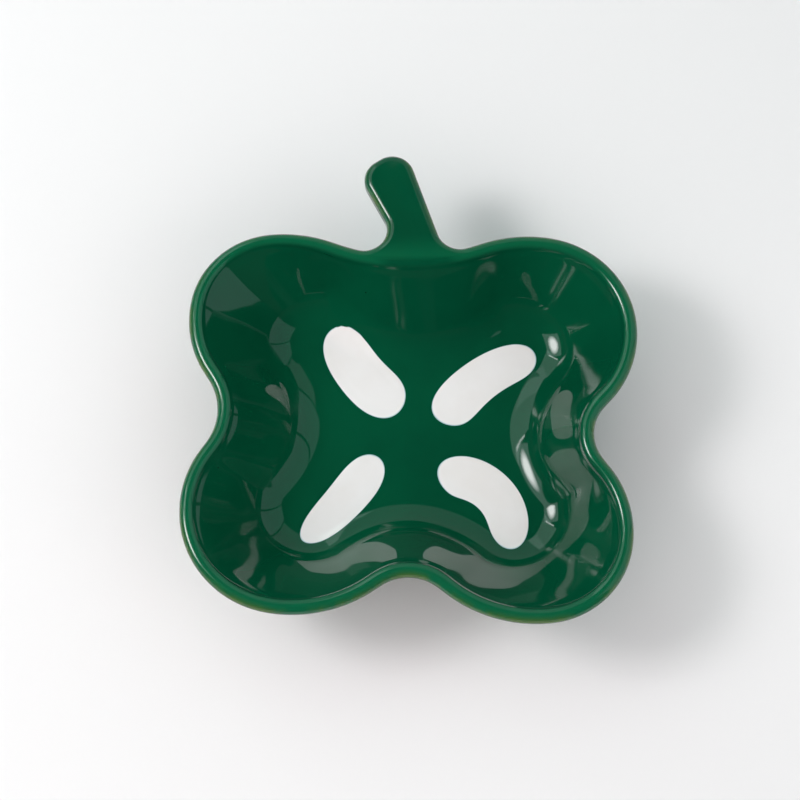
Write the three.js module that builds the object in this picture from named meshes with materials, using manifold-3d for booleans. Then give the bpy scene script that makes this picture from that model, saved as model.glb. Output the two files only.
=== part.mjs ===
// A four-lobed dipping dish shaped like a slice of bell pepper, with a stem for a handle.
// Clay bowl, luted-on stem and foot ring, a coat of green glaze, and four white seed marks set in the glaze.
// Millimetres and degrees, +Z up, stem towards +Y. The sketch origin is near the middle of the bowl.
import * as THREE from 'three';
import { mergeVertices } from 'three/addons/utils/BufferGeometryUtils.js';
import Module from 'manifold-3d';

// Heights and thicknesses
const innerDepth = 25; // rim top down to the floor
const wallThickness = 4.5; // clay and glaze together; the rim is a full round of this width
const glazeThickness = 0.6;
const footHeight = 3; // table to the glazed underside
const footWidth = 3.4;
const footInset = 0.6; // edge of the flat underside to the foot ring
const footChamfer = 0.7;
const floorFillet = 14.8; // radius between the floor and the wall

// Rim plan: each lobe is a crown circle between two flatter flanks, in counter-clockwise order
const lobes = [
  { name: 'front_right', x: 38.2, y: -33.2, radius: 26.2 },
  { name: 'back_right', x: 35.8, y: 28, radius: 29.4 },
  { name: 'back_left', x: -39.3, y: 30.2, radius: 25.4 },
  { name: 'front_left', x: -33.5, y: -28.8, radius: 30.4 },
];
const crownHalfAngle = 36.8; // each side of the lobe's diagonal
const sideFlankRadius = 31.6;
const endFlankRadius = 40.8;
const rightNotchRadius = 12.6;
const backNotchRadius = 60;
const leftNotchRadius = 17.5;
const frontNotchRadius = 13.4;

// Floor plan: four equal lobes about the floor's own middle
const floorX = 1.8;
const floorY = 2.3;
const floorSpacingX = 58.8;
const floorSpacingY = 50;
const floorLobeRadius = 5;
const floorSideNotchDepth = 9.2; // from the line across two lobes
const floorEndNotchDepth = 10.5;

// Stem, in plan a bar that leans to the left and widens to its tip
const stemLength = 33.6; // along its axis, from the rim's outer edge
const stemRootX = 3.35;
const stemLean = 25.5;
const stemRootWidth = 11;
const stemTipWidth = 16.2;
const stemTipRadius = 6.6;
const stemTipSlant = 9; // of the tip's end against square across the axis
const stemRootFillet = 6.8;
const stemThickness = 6.5;
const stemBlend = 7; // distance off the rim over which the edge deepens to the full thickness

// Seed marks: middle in half spacings of the floor's lobes, heading of the long axis, length, width, bend of
// the axis, taper (share of width gained towards the heading end) and fullness (2 is an oval, higher blunter)
const seedMark = (name, x, y, heading, length, width, bend, taper, fullness) => ({
  name, x, y, heading, length, width, bend, taper, fullness,
});
const seeds = [
  seedMark('seed_back_left', -0.533, 0.804, 130, 32.9, 14.8, 42, -0.11, 3.5),
  seedMark('seed_back_right', 0.69, 0.683, 39, 36.1, 13.1, 52, -0.1, 5),
  seedMark('seed_front_left', -0.706, -0.808, 52, 33.9, 11.7, -19, 0.14, 3.2),
  seedMark('seed_front_right', 0.694, -0.796, 134, 35.8, 12.8, -125, 0.1, 5),
];
const seedProud = 0.25; // above the glaze round it
const seedGap = 0.3; // between a mark and the edge of its window in the glaze

// How finely curves are divided
const lobeSteps = 12;
const notchSteps = 6;
const shoulderSteps = 2; // rim beside the stem
const filletSteps = 3;
const rimSteps = 2;
const stemFilletSteps = 4;
const stemTipSteps = 4;
const seedSteps = 14;

const floorTop = footHeight + wallThickness;
const rimTop = floorTop + innerDepth;
const rimRadius = wallThickness / 2;
const baseHeight = footHeight + glazeThickness;
const rightAngle = Math.PI / 2;
const radians = THREE.MathUtils.degToRad;
const lerp = THREE.MathUtils.lerp;

const wasm = await Module();
wasm.setup();

// Plan vectors and angles
const heading = (angle) => new THREE.Vector2(Math.cos(angle), Math.sin(angle));
const angleOf = (from, to) => Math.atan2(to.y - from.y, to.x - from.x);
const rightOf = (v) => new THREE.Vector2(v.y, -v.x);
const along = (point, direction, distance) => point.clone().addScaledVector(direction, distance);
const turnedNear = (angle, reference) => {
  const turn = THREE.MathUtils.euclideanModulo(angle - reference + Math.PI, 2 * Math.PI);
  return reference + turn - Math.PI;
};
const fractions = (steps) => Array.from({ length: steps }, (_, i) => i / steps);

// Centre of the circle of a given radius that touches circles a and b from outside, on the right of a to b
function filletCentre(a, b, radius) {
  const span = b.centre.distanceTo(a.centre);
  const toA = a.radius + radius;
  const toB = b.radius + radius;
  const reach = (span * span + toA * toA - toB * toB) / (2 * span);
  const direction = b.centre.clone().sub(a.centre).normalize();
  const offset = Math.sqrt(toA * toA - reach * reach);
  return along(along(a.centre, direction, reach), rightOf(direction), offset);
}

// A lobed outline as four sides, each a lobe (three tangent arcs, read by the angle of the outward normal)
// followed by a hollow notch arc. Side 1 ends in the back notch, side 3 in the front notch.
function lobedOutline(crowns, flankRadii, notchRadii, halfAngle) {
  const sides = crowns.map((crown, i) => {
    const diagonal = radians(315 + 90 * i);
    const flank = (turn, radius) => {
      const joint = diagonal + turn * halfAngle;
      return { centre: along(crown.centre, heading(joint), crown.radius - radius), radius };
    };
    const [first, last] = i % 2 === 0 ? flankRadii : [...flankRadii].reverse();
    return { crown, diagonal, first: flank(-1, first), last: flank(1, last) };
  });
  sides.forEach((side, i) => {
    const next = sides[(i + 1) % 4];
    const centre = filletCentre(side.last, next.first, notchRadii[i]);
    const from = angleOf(centre, side.last.centre);
    const to = turnedNear(angleOf(centre, next.first.centre), from);
    side.notch = { centre, radius: notchRadii[i], from, to };
  });
  sides.forEach((side, i) => {
    const before = sides[(i + 3) % 4].notch;
    side.from = turnedNear(angleOf(side.first.centre, before.centre), side.diagonal);
    side.to = turnedNear(angleOf(side.last.centre, side.notch.centre), side.diagonal);
    side.circleAt = (angle) => {
      if (angle < side.diagonal - halfAngle) return side.first;
      return angle > side.diagonal + halfAngle ? side.last : side.crown;
    };
  });
  return sides;
}

// Point and outward normal at a station: a side, its lobe or its notch, and a fraction along that
function outlineAt(outline, station) {
  const side = outline[station.side];
  if (station.part === 'lobe') {
    const angle = lerp(side.from, side.to, station.t);
    const circle = side.circleAt(angle);
    return { point: along(circle.centre, heading(angle), circle.radius), normal: heading(angle) };
  }
  const { centre, radius, from, to } = side.notch;
  const out = heading(lerp(from, to, station.t));
  return { point: along(centre, out, radius), normal: out.negate() };
}

const crownOf = (lobe) => ({ centre: new THREE.Vector2(lobe.x, lobe.y), radius: lobe.radius });
const floorPoint = (x, y) => (
  new THREE.Vector2(floorX + (x * floorSpacingX) / 2, floorY + (y * floorSpacingY) / 2)
);
const floorCrowns = [[1, -1], [1, 1], [-1, 1], [-1, -1]].map(([x, y]) => ({
  centre: floorPoint(x, y),
  radius: floorLobeRadius,
}));
const floorNotchRadius = (spacing, depth) => (
  ((spacing / 2) ** 2 + depth * (depth - 2 * floorLobeRadius)) / (2 * depth)
);
const floorSideNotchRadius = floorNotchRadius(floorSpacingY, floorSideNotchDepth);
const floorEndNotchRadius = floorNotchRadius(floorSpacingX, floorEndNotchDepth);
const rimOutline = lobedOutline(
  lobes.map(crownOf),
  [endFlankRadius, sideFlankRadius],
  [rightNotchRadius, backNotchRadius, leftNotchRadius, frontNotchRadius],
  radians(crownHalfAngle),
);
const floorOutline = lobedOutline(
  floorCrowns,
  [floorLobeRadius, floorLobeRadius],
  [floorSideNotchRadius, floorEndNotchRadius, floorSideNotchRadius, floorEndNotchRadius],
  radians(crownHalfAngle),
);

// Stem plan: side lines filleted into the back notch, round corners at the tip. Points with outward normals
// run from the right fillet's touching point round the tip to the left one, with their shares of the notch.
function stemOutline(notch) {
  const axis = heading(rightAngle + radians(stemLean));
  const tipNormal = heading(rightAngle + radians(stemLean + stemTipSlant));
  const across = rightOf(axis);
  const rootRise = Math.sqrt(notch.radius ** 2 - (stemRootX - notch.centre.x) ** 2);
  const root = new THREE.Vector2(stemRootX, notch.centre.y - rootRise);
  const tip = along(root, axis, stemLength);
  const flare = Math.atan2((stemTipWidth - stemRootWidth) / 2, stemLength);
  const sideLine = (hand) => {
    const start = along(root, across, (hand * stemRootWidth) / 2);
    const direction = axis.clone().rotateAround(new THREE.Vector2(), -hand * flare);
    const normal = rightOf(direction).multiplyScalar(hand);
    const filletStart = along(start, normal, stemRootFillet).sub(notch.centre);
    const half = filletStart.dot(direction);
    const inside = notch.radius - stemRootFillet;
    const step = -half - Math.sqrt(half * half - filletStart.lengthSq() + inside * inside);
    const fillet = along(filletStart, direction, step).add(notch.centre);
    const cornerStart = along(start, normal, -stemTipRadius);
    const toTip = along(tip, tipNormal, -stemTipRadius).sub(cornerStart);
    const corner = along(cornerStart, direction, toTip.dot(tipNormal) / direction.dot(tipNormal));
    const touch = angleOf(notch.centre, fillet);
    return { normal, fillet, corner, touch, root: angleOf(notch.centre, start) };
  };
  const right = sideLine(1);
  const left = sideLine(-1);
  const points = [];
  const addArc = (centre, radius, from, to, steps, hollow) => {
    for (const t of fractions(steps)) {
      const out = heading(lerp(from, turnedNear(to, from), t));
      points.push({ point: along(centre, out, radius), normal: hollow ? out.clone().negate() : out });
    }
  };
  const addCorner = (point, normal) => points.push({ point, normal });
  const opposite = (v) => v.clone().negate().angle();
  addArc(right.fillet, stemRootFillet, right.touch, opposite(right.normal), stemFilletSteps, true);
  addCorner(along(right.fillet, right.normal, -stemRootFillet), right.normal);
  addArc(right.corner, stemTipRadius, right.normal.angle(), tipNormal.angle(), stemTipSteps, false);
  addCorner(along(right.corner, tipNormal, stemTipRadius), tipNormal);
  addArc(left.corner, stemTipRadius, tipNormal.angle(), left.normal.angle(), stemTipSteps, false);
  addCorner(along(left.corner, left.normal, stemTipRadius), left.normal);
  addArc(left.fillet, stemRootFillet, opposite(left.normal), left.touch, stemFilletSteps, true);
  const share = (angle) => (turnedNear(angle, notch.from) - notch.from) / (notch.to - notch.from);
  const leftRoot = points.length - stemFilletSteps;
  const spread = (first, last, from, to) => {
    points.slice(first, last).forEach((point, i) => {
      point.share = lerp(share(from), share(to), i / (last - first));
    });
  };
  spread(0, stemFilletSteps, right.touch, right.root);
  spread(stemFilletSteps, leftRoot, right.root, left.root);
  spread(leftRoot, points.length, left.root, left.touch);
  return { points, from: share(right.touch), to: share(left.touch) };
}

const backSide = 1;
const stemPlan = stemOutline(rimOutline[backSide].notch);

// Stations round the dish, the same for rim and floor; stem stations carry their point of the stem plan
function stationsRound() {
  const stations = [];
  for (let side = 0; side < 4; side += 1) {
    for (const t of fractions(lobeSteps)) stations.push({ side, part: 'lobe', t });
    if (side !== backSide) {
      for (const t of fractions(notchSteps)) stations.push({ side, part: 'notch', t });
      continue;
    }
    const addNotch = (t, stem = null) => stations.push({ side, part: 'notch', t, stem });
    for (const t of fractions(shoulderSteps)) addNotch(t * stemPlan.from);
    stemPlan.points.forEach((stem, i) => addNotch(stem.share, i > 0 ? stem : null));
    for (const t of fractions(shoulderSteps)) addNotch(lerp(stemPlan.to, 1, t));
  }
  return stations;
}

const stations = stationsRound();
const sections = stations.map((station) => {
  const edge = outlineAt(rimOutline, station).point;
  const floor = outlineAt(floorOutline, station);
  const run = edge.distanceTo(floor.point);
  const inward = floor.point.clone().sub(edge).divideScalar(run);
  return { edge, inward, run, floor, stem: station.stem };
});
const stemSpan = {
  from: sections.findIndex(({ stem }) => stem) - 1,
  to: sections.findLastIndex(({ stem }) => stem) + 1,
};

// Where the outer edge is rounded: over the rim itself, or out along the stem's edge
function edgeRound(section, withStem) {
  const outward = section.inward.clone().negate();
  if (!withStem || !section.stem) {
    return { centre: along(section.edge, outward, -rimRadius), out: outward, side: 0 };
  }
  const { point, normal } = section.stem;
  const away = THREE.MathUtils.smoothstep(point.distanceTo(section.edge), 0, stemBlend);
  const out = outward.lerp(normal, away).normalize();
  return { centre: along(point, out, -rimRadius), out, side: (stemThickness - wallThickness) * away };
}

// Rows of a section named elsewhere: top of the rim, landing of the stem's underside, edge of the base
const topRow = filletSteps + rimSteps + 1;
const landingRow = topRow + 2 * rimSteps + 3;
const baseRow = landingRow + filletSteps + 1;

// One section through the wall, from the floor's edge over the rim and down to the edge of the underside. The
// wall is straight, tangent to the rim's round and to the floor's fillet; skin is the depth below the glaze.
function sectionPoints({ edge, inward, run, stem }, skin, withStem) {
  const at = (x, z) => new THREE.Vector3(edge.x + inward.x * x, edge.y + inward.y * x, z);
  const bead = new THREE.Vector2(rimRadius, rimTop - rimRadius);
  const rise = bead.y - floorTop;
  const level = run - rimRadius;
  const largestFillet = (level * level + rise * rise - rimRadius * rimRadius) / (2 * (rise + rimRadius));
  const fillet = Math.min(floorFillet, 0.8 * largestFillet);
  const hub = new THREE.Vector2(run, floorTop + fillet);
  const wall = angleOf(bead, hub) + Math.acos((rimRadius + fillet) / bead.distanceTo(hub));
  const round = rimRadius - skin;
  const points = [];
  const sweep = (centre, radius, from, to, steps) => {
    for (let i = 0; i <= steps; i += 1) {
      const p = along(centre, heading(lerp(from, to, i / steps)), radius);
      points.push(at(p.x, p.y));
    }
  };
  sweep(hub, -(fillet + skin), rightAngle, wall, filletSteps);
  sweep(bead, round, wall, rightAngle, rimSteps);

  const nose = edgeRound({ edge, inward, stem }, withStem);
  const noseAt = (turn, z) => {
    const p = along(nose.centre, nose.out, round * Math.sin(turn));
    points.push(new THREE.Vector3(p.x, p.y, z + round * Math.cos(turn)));
  };
  const meetZ = rimTop - stemThickness + skin;
  const meet = at(bead.x - (round + (meetZ - bead.y) * Math.sin(wall)) / Math.cos(wall), meetZ);
  const lowZ = bead.y - nose.side;
  const under = new THREE.Vector2(lowZ - meetZ, Math.hypot(meet.x - nose.centre.x, meet.y - nose.centre.y));
  const lastTurn = rightAngle + under.angle() + Math.asin(round / under.length());
  for (let i = 0; i <= rimSteps; i += 1) noseAt((rightAngle * i) / rimSteps, bead.y);
  for (let i = 0; i <= rimSteps; i += 1) noseAt(lerp(rightAngle, lastTurn, i / rimSteps), lowZ);
  points.push(meet);

  sweep(hub, -(fillet + wallThickness - skin), wall, rightAngle, filletSteps);
  return points;
}

// Closed mesh data: vertices welded by place, collapsed triangles left out; two lying back to back cancel
class Skin {
  vertices = [];
  triangles = new Map();
  places = new Map();

  vertex(point) {
    const place = [point.x, point.y, point.z].map((v) => v.toFixed(5)).join(' ');
    if (!this.places.has(place)) {
      this.places.set(place, this.vertices.length / 3);
      this.vertices.push(point.x, point.y, point.z);
    }
    return this.places.get(place);
  }

  triangle(a, b, c) {
    const corners = [a, b, c].map((point) => this.vertex(point));
    if (new Set(corners).size < 3) return;
    const place = corners.toSorted((one, other) => one - other).join(' ');
    if (!this.triangles.delete(place)) this.triangles.set(place, corners);
  }

  // Columns of points side by side, counter-clockwise from above, each running inside to outside
  patch(columns, flipped = false, isOpen = () => false) {
    for (let u = 0; u + 1 < columns.length; u += 1) {
      const here = columns[u];
      const next = columns[u + 1];
      for (let v = 0; v + 1 < here.length; v += 1) {
        if (isOpen(u, v)) continue;
        const [second, third] = flipped ? [next[v], here[v + 1]] : [here[v + 1], next[v]];
        this.triangle(here[v], second, next[v + 1]);
        this.triangle(here[v], next[v + 1], third);
      }
    }
  }

  // Faces given as corner numbers into a list of points
  faces(corners, points, flipped) {
    for (const [a, b, c] of corners) {
      const [second, third] = flipped ? [c, b] : [b, c];
      this.triangle(points[a], points[second], points[third]);
    }
  }

  geometry() {
    const geometry = new THREE.BufferGeometry();
    geometry.setAttribute('position', new THREE.Float32BufferAttribute(this.vertices, 3));
    geometry.setIndex([...this.triangles.values()].flat());
    return geometry;
  }
}

const solidOf = (geometry) => {
  const vertProperties = new Float32Array(geometry.attributes.position.array);
  const triVerts = new Uint32Array(geometry.index.array);
  return new wasm.Manifold(new wasm.Mesh({ numProp: 3, vertProperties, triVerts }));
};

function geometryOf(solid) {
  const { vertProperties, triVerts } = solid.getMesh();
  const geometry = new THREE.BufferGeometry();
  geometry.setAttribute('position', new THREE.BufferAttribute(new Float32Array(vertProperties), 3));
  geometry.setIndex(new THREE.BufferAttribute(new Uint32Array(triVerts), 1));
  return geometry;
}

const middle = (z) => new THREE.Vector3(floorX, floorY, z);
const allRound = { from: 0, to: sections.length };
const allRows = { from: 0, to: baseRow };
const sectionsIn = (span) => {
  const count = span.to - span.from + 1;
  return Array.from({ length: count }, (_, i) => sections[(span.from + i) % sections.length]);
};

// Top and underside of the stem in plan, each between a row of points at the rim and one along its edge
const loopOf = (columns, rimRow, edgeRow) => [
  ...columns.map((column) => column[rimRow]),
  ...columns.map((column) => column[edgeRow]).reverse(),
];
const planFaces = (loop) => {
  const plan = loop.map(({ x, y }) => new THREE.Vector2(x, y));
  const isUpward = (a, b, c) => plan[b].clone().sub(plan[a]).cross(plan[c].clone().sub(plan[a])) > 0;
  const faces = THREE.ShapeUtils.triangulateShape(plan, []);
  return faces.map(([a, b, c]) => (isUpward(a, b, c) ? [a, b, c] : [a, c, b]));
};
const stemColumns = sectionsIn(stemSpan).map((section) => sectionPoints(section, 0, true));
const stemTop = planFaces(loopOf(stemColumns, topRow, topRow + 1));
const stemUnder = planFaces(loopOf(stemColumns, landingRow, landingRow - 1));

// The dish's face at a depth below the glaze's surface, over a span of sections and of their rows
function addFace(skin, depth, { span = allRound, rows = allRows, withStem = true, flipped = false }) {
  const columns = sectionsIn(span).map((section) => sectionPoints(section, depth, withStem));
  const stem = { from: stemSpan.from - span.from, to: stemSpan.to - span.from };
  const isStemFlat = (u, row) => u >= stem.from && u < stem.to && (row === topRow || row === landingRow - 1);
  const isOpen = (u, v) => withStem && isStemFlat(u, v + rows.from);
  skin.patch(columns.map((column) => column.slice(rows.from, rows.to + 1)), flipped, isOpen);
  if (!withStem) return;
  const onStem = columns.slice(stem.from, stem.to + 1);
  skin.faces(stemTop, loopOf(onStem, topRow, topRow + 1), flipped);
  skin.faces(stemUnder, loopOf(onStem, landingRow, landingRow - 1), !flipped);
}

// Flat middle of the floor at a depth below the glaze's surface
function addFloor(skin, depth, flipped) {
  const floorEdge = (section) => sectionPoints(section, depth, false)[0];
  const columns = sectionsIn(allRound).map((section) => [middle(floorTop - depth), floorEdge(section)]);
  skin.patch(columns, flipped);
}

// Clay bowl: floor, wall and rim, closed by a flat underside
function bowlGeometry() {
  const skin = new Skin();
  addFloor(skin, glazeThickness, false);
  addFace(skin, glazeThickness, { withStem: false });
  const baseEdge = (section) => sectionPoints(section, glazeThickness, false)[baseRow];
  skin.patch(sectionsIn(allRound).map((section) => [baseEdge(section), middle(baseHeight)]));
  return skin.geometry();
}

// Clay stem: from the outside of the rim out to its own edge, saddled on the bowl
function stemGeometry() {
  const skin = new Skin();
  const part = { span: stemSpan, rows: { from: topRow, to: landingRow } };
  addFace(skin, glazeThickness, part);
  addFace(skin, glazeThickness, { ...part, withStem: false, flipped: true });
  return skin.geometry();
}

// Clay foot ring under the bowl, following the floor's outline, with its lower edges taken off
function footGeometry() {
  const skin = new Skin();
  const profile = [
    [footInset, baseHeight],
    [footInset, footChamfer],
    [footInset + footChamfer, 0],
    [footInset + footWidth - footChamfer, 0],
    [footInset + footWidth, footChamfer],
    [footInset + footWidth, baseHeight],
    [footInset, baseHeight],
  ];
  skin.patch(sectionsIn(allRound).map(({ floor }) => profile.map(([inset, z]) => {
    const p = along(floor.point, floor.normal, -inset);
    return new THREE.Vector3(p.x, p.y, z);
  })));
  return skin.geometry();
}

// Outline of a seed mark, grown by a clearance: a full oval along a bent axis
function seedShape(seed, growth) {
  const bend = radians(seed.bend);
  const radius = seed.length / bend;
  const sag = (radius * (1 - Math.cos(bend / 2))) / 2;
  const points = fractions(2 * seedSteps).map((t) => {
    const turn = 2 * Math.PI * t;
    const reach = Math.cos(turn);
    const side = Math.sign(Math.sin(turn)) * Math.sqrt(1 - Math.abs(reach) ** seed.fullness);
    const half = (seed.width / 2 + growth) * side * (1 + seed.taper * reach);
    const angle = (bend / 2) * reach * (1 + (2 * growth) / seed.length);
    const out = radius + half;
    const p = new THREE.Vector2(out * Math.sin(angle), out * Math.cos(angle) - radius + sag);
    return p.rotateAround(new THREE.Vector2(), radians(seed.heading)).add(floorPoint(seed.x, seed.y));
  });
  return new THREE.Shape(points);
}

// A shape carried up from just below the floor's glaze to the height of the rim
function prism(shape) {
  const bottom = floorTop - 2 * glazeThickness;
  const depth = rimTop - bottom;
  const geometry = new THREE.ExtrudeGeometry(shape, { depth, bevelEnabled: false, curveSegments: 1 });
  geometry.deleteAttribute('normal');
  geometry.deleteAttribute('uv');
  return solidOf(mergeVertices(geometry.translate(0, 0, bottom)));
}

// Room inside the clay: above its floor and wall, under a lid across the top of the rim
function roomInside() {
  const skin = new Skin();
  addFloor(skin, glazeThickness, true);
  addFace(skin, glazeThickness, { rows: { from: 0, to: topRow }, withStem: false, flipped: true });
  const lidEdge = (section) => sectionPoints(section, glazeThickness, false)[topRow];
  skin.patch(sectionsIn(allRound).map((section) => [middle(rimTop - glazeThickness), lidEdge(section)]));
  return solidOf(skin.geometry());
}

// White mark: the lowest layer of the room inside, within the mark's outline
const room = roomInside();
const roomAboveMarks = room.translate(0, 0, glazeThickness + seedProud);
const seedGeometry = (seed) => geometryOf(prism(seedShape(seed, 0)).intersect(room).subtract(roomAboveMarks));

// Green glaze: one coat over bowl and stem down to the edge of the underside, with a window for each mark
function glazeGeometry() {
  const skin = new Skin();
  addFloor(skin, 0, false);
  addFloor(skin, glazeThickness, true);
  addFace(skin, 0, {});
  addFace(skin, glazeThickness, { flipped: true });
  const baseEdge = (section, depth) => sectionPoints(section, depth, false)[baseRow];
  const hem = (section) => [baseEdge(section, 0), baseEdge(section, glazeThickness)];
  skin.patch(sectionsIn(allRound).map(hem));
  const windows = seeds.map((seed) => prism(seedShape(seed, seedGap)));
  return geometryOf(windows.reduce((coat, window) => coat.subtract(window), solidOf(skin.geometry())));
}

const stoneware = { color: 0xd8cbb4, roughness: 0.85, metalness: 0 };
const greenGlaze = { color: 0x044d34, roughness: 0.08, metalness: 0 };
const whiteGlaze = { color: 0xe9e7e3, roughness: 0.3, metalness: 0 };

const dish = new THREE.Group();
const add = (name, geometry, finish) => {
  const mesh = new THREE.Mesh(geometry, new THREE.MeshStandardMaterial(finish));
  mesh.name = name;
  mesh.geometry.computeVertexNormals();
  dish.add(mesh);
};
add('bowl', bowlGeometry(), stoneware);
add('stem', stemGeometry(), stoneware);
add('foot_ring', footGeometry(), stoneware);
add('green_glaze', glazeGeometry(), greenGlaze);
for (const seed of seeds) {
  add(seed.name, seedGeometry(seed), whiteGlaze);
}

// The dish stands on z = 0 with the middle of its overall length and width over the origin
const centre = new THREE.Box3().setFromObject(dish).getCenter(new THREE.Vector3());
dish.position.set(-centre.x, -centre.y, 0);

export default dish;
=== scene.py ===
import math

import bpy
import numpy as np
from mathutils import Matrix, Vector


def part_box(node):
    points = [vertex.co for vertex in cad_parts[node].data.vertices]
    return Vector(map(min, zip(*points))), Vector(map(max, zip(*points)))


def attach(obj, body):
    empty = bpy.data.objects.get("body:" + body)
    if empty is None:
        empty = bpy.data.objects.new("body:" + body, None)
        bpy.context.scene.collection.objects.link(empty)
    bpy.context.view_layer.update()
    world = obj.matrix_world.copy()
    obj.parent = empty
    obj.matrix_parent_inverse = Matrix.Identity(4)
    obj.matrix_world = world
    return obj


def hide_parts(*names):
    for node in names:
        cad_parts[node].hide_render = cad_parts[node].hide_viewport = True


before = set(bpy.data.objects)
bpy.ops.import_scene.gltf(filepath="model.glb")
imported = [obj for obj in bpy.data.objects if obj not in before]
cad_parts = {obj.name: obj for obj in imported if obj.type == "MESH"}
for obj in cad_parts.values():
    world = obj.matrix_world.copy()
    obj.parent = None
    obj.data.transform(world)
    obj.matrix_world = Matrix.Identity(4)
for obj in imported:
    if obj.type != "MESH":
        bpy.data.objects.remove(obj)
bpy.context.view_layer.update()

bl_info = {
    "name": "Dipping Dish",
    "version": (1, 0, 0),
    "blender": (4, 5, 0),
    "location": "View3D > Sidebar > Dish",
    "description": "Builds a four-lobed glazed dipping dish with a stem handle, and a studio for it",
    "category": "Object",
}

MM = 0.001
RIGHT_ANGLE = math.pi / 2
FRONT_RIGHT = math.radians(315)

# The part's middle in the sketch that the plans below are drawn in, stem towards +Y
SKETCH_MIDDLE = np.array((0.178, 11.217)) * MM

# Rim plan: middle and radius of each lobe's crown circle, counter-clockwise from the front right, radii of
# the circles on a lobe's two flanks and in each notch, and half of the angle that a crown covers
RIM_CROWNS = np.array(((38.2, -33.2), (35.8, 28.0), (-39.3, 30.2), (-33.5, -28.8))) * MM
RIM_RADII = np.array((26.2, 29.4, 25.4, 30.4)) * MM
RIM_FLANKS = np.array((40.8, 31.6)) * MM
RIM_NOTCHES = np.array((12.6, 60.0, 17.5, 13.4)) * MM
CROWN_HALF_ANGLE = math.radians(36.8)

# Floor plan: four equal lobes about the floor's own middle
FLOOR_MIDDLE = np.array((1.8, 2.3)) * MM
FLOOR_HALF_SPACING = np.array((29.4, 25.0)) * MM
FLOOR_LOBE_RADIUS = 5.0 * MM
FLOOR_NOTCH_DEPTHS = np.array((9.2, 10.5, 9.2, 10.5)) * MM

# Seed marks: middle in half spacings of the floor, heading and bend in degrees, length and width in
# millimetres, taper, fullness
SEEDS = {
    "seed_back_left": ((-0.533, 0.804), 130, 42, 32.9, 14.8, -0.11, 3.5),
    "seed_back_right": ((0.69, 0.683), 39, 52, 36.1, 13.1, -0.1, 5.0),
    "seed_front_left": ((-0.706, -0.808), 52, -19, 33.9, 11.7, 0.14, 3.2),
    "seed_front_right": ((0.694, -0.796), 134, -125, 35.8, 12.8, 0.1, 5.0),
}


def length(name, description, default):
    """A length property, its default given in millimetres."""
    return bpy.props.FloatProperty(name=name, description=description, default=default * MM, unit="LENGTH")


def slant(name, description, default):
    """An angle property, its default given in degrees."""
    return bpy.props.FloatProperty(
        name=name, description=description, default=math.radians(default), subtype="ANGLE")


def colour(name, description, default):
    """A colour property in linear light."""
    return bpy.props.FloatVectorProperty(
        name=name, description=description, default=default, size=3, subtype="COLOR", min=0.0, max=1.0)


class DishSizes(bpy.types.PropertyGroup):
    """Sizes of the dish."""
    inner_depth: length("Inner depth", "Rim top down to the floor", 25.0)
    wall: length("Wall", "Thickness of wall and floor, and width of the rim's round", 4.5)
    coat: length("Coat", "Thickness of the shown glaze coat", 0.3)
    foot_height: length("Foot height", "Table to the glazed underside", 3.0)
    foot_width: length("Foot width", "Width of the foot ring", 3.4)
    foot_inset: length("Foot inset", "Edge of the flat underside to the foot ring", 0.6)
    foot_round: length("Foot round", "Rounding of the foot ring's lower edges", 0.7)
    floor_fillet: length("Floor fillet", "Radius between the floor and the wall", 14.8)
    stem_length: length("Stem length", "Along the stem's axis from the rim's outer edge", 33.6)
    stem_root_x: length("Stem root", "Sideways place of the stem's root on the back of the rim", 3.35)
    stem_root_width: length("Root width", "Width of the stem at its root", 11.0)
    stem_tip_width: length("Tip width", "Width of the stem at its tip", 16.2)
    stem_tip_radius: length("Tip radius", "Radius of the tip's corners", 6.6)
    stem_root_fillet: length("Root fillet", "Radius between the stem's sides and the rim", 6.8)
    stem_thickness: length("Stem thickness", "Top to underside", 6.5)
    stem_blend: length("Stem blend", "Distance off the rim over which the edge deepens", 7.0)
    seed_proud: length("Seed height", "Height that the marks' edge, face and swell are shares of", 0.25)
    groove_depth: length("Groove depth", "Hollow just inside the rim's round", 0.16)
    groove_width: length("Groove width", "Half width of that hollow", 0.8)
    groove_drop: length("Groove drop", "Hollow's middle below the rim's round, along the wall", 1.1)
    stem_lean: slant("Stem lean", "Lean of the stem to the left", 25.5)
    stem_tip_slant: slant("Tip slant", "Slant of the tip's end against square across the stem", 9.0)


class DishColours(bpy.types.PropertyGroup):
    """Colours of the glazes, the clay and the table, in linear light."""
    green: colour("Green", "Green glaze on the floor and wall", (0.001, 0.072, 0.032))
    deep_green: colour("Deep green", "Green glaze where it has pooled", (0.0006, 0.06, 0.027))
    light_green: colour("Light green", "Green glaze over the crown of the rim", (0.003, 0.1, 0.043))
    olive: colour("Olive", "Green glaze where it thins on an edge", (0.052, 0.115, 0.02))
    cream: colour("Cream", "Clay that shows through in a line under the edge", (0.52, 0.5, 0.32))
    pinhole: colour("Pinhole", "Pinholes in the green glaze", (0.001, 0.008, 0.004))
    white: colour("White", "White glaze of the seed marks", (0.84, 0.81, 0.81))
    warm_white: colour("Warm white", "White glaze where it drifts thinner", (0.81, 0.77, 0.76))
    blue_edge: colour("Blue edge", "White glaze at the edge of a mark", (0.3, 0.52, 0.56))
    clay: colour("Clay", "Bare fired clay", (0.56, 0.46, 0.33))
    dark_clay: colour("Dark clay", "Bare fired clay where it is darker", (0.4816, 0.3956, 0.2838))
    speck: colour("Speck", "Specks in the bare clay", (0.22, 0.13, 0.07))
    table: colour("Table", "Pale floor under the dish", (0.86, 0.83, 0.84))


def heading(angle):
    """Unit vectors at angles counter-clockwise from +X."""
    return np.stack([np.cos(angle), np.sin(angle)], axis=-1)


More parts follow.
